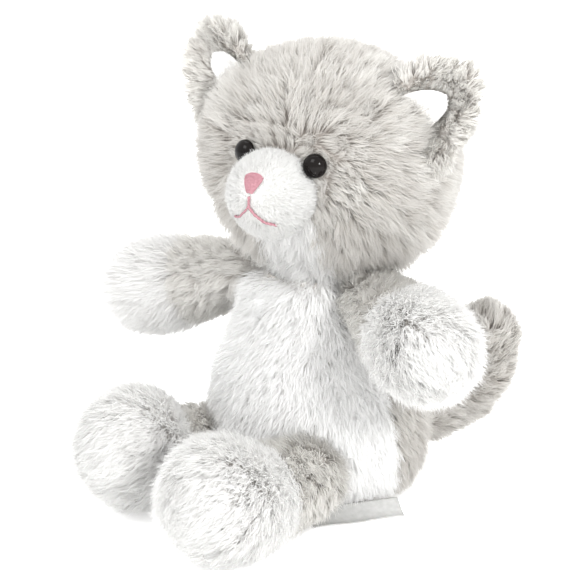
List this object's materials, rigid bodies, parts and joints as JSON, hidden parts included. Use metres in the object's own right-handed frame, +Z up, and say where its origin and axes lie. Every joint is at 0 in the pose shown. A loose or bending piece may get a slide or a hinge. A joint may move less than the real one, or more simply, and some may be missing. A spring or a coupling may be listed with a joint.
{
  "type": "plush cat",
  "caption": "Seated stuffed toy cat with long frosted grey and white pile, sewn muzzle, glossy bead eyes, and head, arms, legs and tail that turn.",
  "frame": {"origin": "centre of the flat underside of the seat, on the floor plane", "axes": "+Z up; the cat faces -Y; its own left side is +X"},
  "size_m": [0.1954, 0.1818, 0.1821],
  "materials": {
    "grey_fur": "long frosted plush pile",
    "white_fur": "long plush pile",
    "muzzle_plush": "short plush pile",
    "ear_satin": "satin weave",
    "eye_plastic": "polished black",
    "washer_plastic": "natural moulded",
    "embroidery_thread": "pink satin stitch",
    "stuffing_fibre": "loose polyester fibre",
    "pellet_cloth": "plain woven",
    "label_satin": "satin ribbon"
  },
  "bodies": {
    "torso": {"belly_panel": "white_fur", "back_panel_left": "grey_fur", "back_panel_right": "grey_fur", "seat_panel": "grey_fur", "body_stuffing": "stuffing_fibre", "pellet_pouch": "pellet_cloth", "care_label": "label_satin", "closing_stitches": "stuffing_fibre"},
    "neck": {"neck_stuffing": "stuffing_fibre"},
    "head": {"head_side_left": "grey_fur", "head_side_right": "grey_fur", "head_crown": "grey_fur", "chin_panel": "white_fur", "head_stuffing": "stuffing_fibre", "muzzle": "muzzle_plush", "muzzle_stuffing": "stuffing_fibre", "nose_embroidery": "embroidery_thread", "mouth_stem_stitch": "embroidery_thread", "mouth_stitch_left": "embroidery_thread", "mouth_stitch_right": "embroidery_thread", "eye_left": "eye_plastic", "eye_right": "eye_plastic", "eye_washer_left": "washer_plastic", "eye_washer_right": "washer_plastic", "ear_back_left": "grey_fur", "ear_back_right": "grey_fur", "ear_lining_left": "ear_satin", "ear_lining_right": "ear_satin"},
    "arm_left": {"arm_sleeve_left": "grey_fur", "paw_left": "white_fur", "arm_stuffing_left": "stuffing_fibre"},
    "arm_right": {"arm_sleeve_right": "grey_fur", "paw_right": "white_fur", "arm_stuffing_right": "stuffing_fibre"},
    "leg_left": {"thigh_left": "grey_fur", "foot_left": "white_fur", "leg_stuffing_left": "stuffing_fibre"},
    "leg_right": {"thigh_right": "grey_fur", "foot_right": "white_fur", "leg_stuffing_right": "stuffing_fibre"},
    "tail": {"tail_skin": "grey_fur", "tail_stuffing": "stuffing_fibre"}
  },
  "joints": [
    {"name": "neck_turn", "type": "hinge", "parent": "torso", "child": "neck", "pos_m": [0.0015, 0.001, 0.0975], "axis": [0, 0, 1], "range_deg": [-42, 16]},
    {"name": "head_nod", "type": "hinge", "parent": "neck", "child": "head", "pos_m": [0.0015, 0.001, 0.0975], "axis": [0.9703, 0.2419, 0], "range_deg": [-10, 12]},
    {"name": "shoulder_left", "type": "hinge", "parent": "torso", "child": "arm_left", "pos_m": [0.033, -0.004, 0.083], "axis": [-0.3907, -0.9205, 0], "range_deg": [-20, 45]},
    {"name": "shoulder_right", "type": "hinge", "parent": "torso", "child": "arm_right", "pos_m": [-0.033, -0.004, 0.083], "axis": [-0.2588, 0.9659, 0], "range_deg": [-15, 45]},
    {"name": "hip_left", "type": "hinge", "parent": "torso", "child": "leg_left", "pos_m": [0.028, -0.0385, 0.02], "axis": [-0.9994, -0.0349, 0], "range_deg": [-2, 24]},
    {"name": "hip_right", "type": "hinge", "parent": "torso", "child": "leg_right", "pos_m": [-0.028, -0.0385, 0.02], "axis": [-0.9925, 0.1219, 0], "range_deg": [-2, 24]},
    {"name": "tail_wag", "type": "hinge", "parent": "torso", "child": "tail", "pos_m": [0.004, 0.0425, 0.018], "axis": [0, 0, 1], "range_deg": [-35, 25]}
  ]
}
